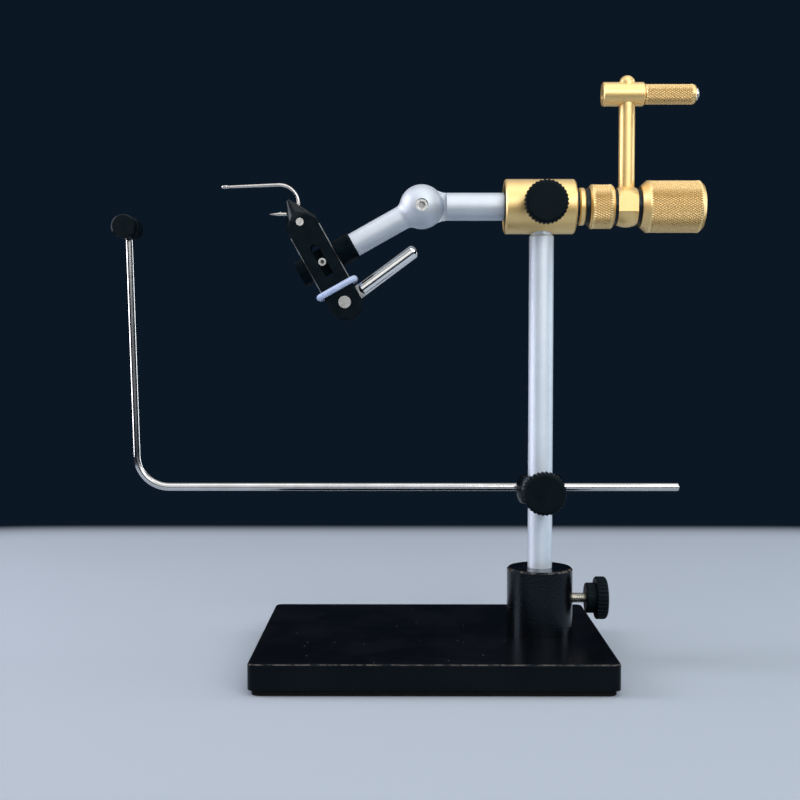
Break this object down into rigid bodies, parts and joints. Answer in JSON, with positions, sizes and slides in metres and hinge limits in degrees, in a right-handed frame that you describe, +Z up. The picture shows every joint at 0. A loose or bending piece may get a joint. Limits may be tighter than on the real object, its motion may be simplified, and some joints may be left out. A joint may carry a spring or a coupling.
{
  "type": "fly tying vise",
  "caption": "Rotary fly tying vise on a flat pedestal base: cam-lever jaws on a tilting arm, a cranked spindle head with drag ring and lock, and a swing-out thread cradle.",
  "frame": {"origin": "centre of the pad's underside, on the table", "axes": "+X from the jaws to the crank along the spindle, +Y away from the lock knobs, +Z up"},
  "size_m": [0.2279, 0.1, 0.2277],
  "materials": {
    "black_paint": "semi-gloss black paint with a fine orange peel",
    "pad_rubber": "matte black non-slip sheet",
    "zinc_steel": "zinc plated thread",
    "knob_plastic": "matte black moulding",
    "silver_aluminium": "fine blasted and clear anodised",
    "gold_aluminium": "satin gold anodised, knurled where gripped",
    "bush_bronze": "plain bearing",
    "washer_nylon": "black nylon",
    "screw_steel": "bright steel",
    "black_steel": "blackened tool steel with worn edges",
    "ring_silicone": "milky pale blue silicone",
    "lever_chrome": "polished chrome",
    "hook_steel": "bronzed hook wire",
    "rod_stainless": "drawn stainless rod",
    "spool_plastic": "turned black plastic"
  },
  "bodies": {
    "base": {"base_plate": "black_paint", "base_pad": "pad_rubber", "pedestal": "black_paint", "pedestal_bolt": "zinc_steel"},
    "pedestal_clamp": {"pedestal_clamp_stud": "zinc_steel", "pedestal_clamp_knob": "knob_plastic"},
    "post": {"post": "silver_aluminium", "head_barrel": "gold_aluminium", "front_bush": "bush_bronze", "rear_bush": "bush_bronze", "front_thrust_washer": "washer_nylon"},
    "head_lock": {"head_lock_stud": "zinc_steel", "head_lock_knob": "knob_plastic"},
    "spindle": {"spindle_arm": "silver_aluminium", "barrel_washer": "washer_nylon", "pressure_ring": "gold_aluminium", "ring_washer": "washer_nylon", "hub_washer": "washer_nylon", "crank_hub": "gold_aluminium", "knob_washer": "washer_nylon", "hand_knob": "gold_aluminium", "crank_rod": "gold_aluminium"},
    "drag_ring": {"drag_ring": "gold_aluminium"},
    "crank_handle": {"handle_holder": "gold_aluminium", "holder_set_screw": "screw_steel", "grip_axle": "screw_steel"},
    "crank_grip": {"crank_grip": "gold_aluminium"},
    "forward_arm": {"forward_arm": "silver_aluminium", "knuckle_screw": "screw_steel", "jaw_carriage": "black_steel", "jaw_guide_stud": "screw_steel"},
    "jaw_core": {"jaw_pin": "screw_steel", "cam_pin": "screw_steel", "jaw_o_ring": "ring_silicone", "fish_hook": "hook_steel"},
    "front_jaw": {"front_jaw": "black_steel"},
    "rear_jaw": {"rear_jaw": "black_steel"},
    "cam_lever": {"cam_lever": "lever_chrome"},
    "cradle_collar": {"cradle_collar": "black_steel"},
    "cradle_clamp": {"cradle_clamp_stud": "zinc_steel", "cradle_clamp_knob": "knob_plastic"},
    "cradle_rod": {"cradle_rod": "rod_stainless", "thread_rest_spool": "spool_plastic"}
  },
  "joints": [
    {"name": "post_swivel", "type": "hinge", "parent": "base", "child": "post", "pos_m": [0.0425, 0, 0.0372], "axis": [0, 0, 1], "continuous": true},
    {"name": "pedestal_screw_turn", "type": "hinge", "parent": "base", "child": "pedestal_clamp", "pos_m": [0.0604, 0, 0.025], "axis": [1, 0, 0], "range_deg": [0, 720]},
    {"name": "head_lock_turn", "type": "hinge", "parent": "post", "child": "head_lock", "pos_m": [0.0425, -0.01085, 0.1775], "axis": [0, -1, 0], "range_deg": [0, 720]},
    {"name": "spindle_turn", "type": "hinge", "parent": "post", "child": "spindle", "pos_m": [0.0425, 0, 0.1775], "axis": [1, 0, 0], "continuous": true},
    {"name": "drag_ring_turn", "type": "hinge", "parent": "spindle", "child": "drag_ring", "pos_m": [0.0653, 0, 0.1775], "axis": [1, 0, 0], "range_deg": [-90, 90]},
    {"name": "crank_reach", "type": "slide", "parent": "spindle", "child": "crank_handle", "axis": [0, 0, 1], "range_m": [-0.025, 0]},
    {"name": "grip_spin", "type": "hinge", "parent": "crank_handle", "child": "crank_grip", "pos_m": [0.0919, 0, 0.2205], "axis": [1, 0, 0], "continuous": true},
    {"name": "arm_tilt", "type": "hinge", "parent": "spindle", "child": "forward_arm", "pos_m": [-0.0039, 0, 0.1775], "axis": [0, 1, 0], "range_deg": [-30, 29]},
    {"name": "jaw_slide", "type": "slide", "parent": "forward_arm", "child": "jaw_core", "axis": [-0.4879, 0, 0.8729], "range_m": [-0.005, 0.0045]},
    {"name": "cam_lever_throw", "type": "hinge", "parent": "jaw_core", "child": "cam_lever", "pos_m": [-0.03359, 0, 0.14063], "axis": [0, 1, 0], "range_deg": [0, 80]},
    {"name": "front_jaw_open", "type": "hinge", "parent": "jaw_core", "child": "front_jaw", "pos_m": [-0.05078, 0, 0.1714], "axis": [0.8729, 0, 0.4879], "range_deg": [0, 0.7]},
    {"name": "rear_jaw_open", "type": "hinge", "parent": "jaw_core", "child": "rear_jaw", "pos_m": [-0.05078, 0, 0.1714], "axis": [0.8729, 0, 0.4879], "range_deg": [-0.7, 0]},
    {"name": "cradle_swivel", "type": "hinge", "parent": "post", "child": "cradle_collar", "pos_m": [0.0425, 0, 0.0679], "axis": [0, 0, 1], "continuous": true},
    {"name": "cradle_screw_turn", "type": "hinge", "parent": "cradle_collar", "child": "cradle_clamp", "pos_m": [0.0425, -0.0097, 0.0679], "axis": [0, -1, 0], "range_deg": [0, 720]},
    {"name": "cradle_reach", "type": "slide", "parent": "cradle_collar", "child": "cradle_rod", "axis": [1, 0, 0], "range_m": [-0.044, 0.03]}
  ],
  "couplings": [
    {"joint": "front_jaw_open", "follows": "cam_lever_throw", "ratio": 0.008},
    {"joint": "rear_jaw_open", "follows": "cam_lever_throw", "ratio": -0.008}
  ]
}
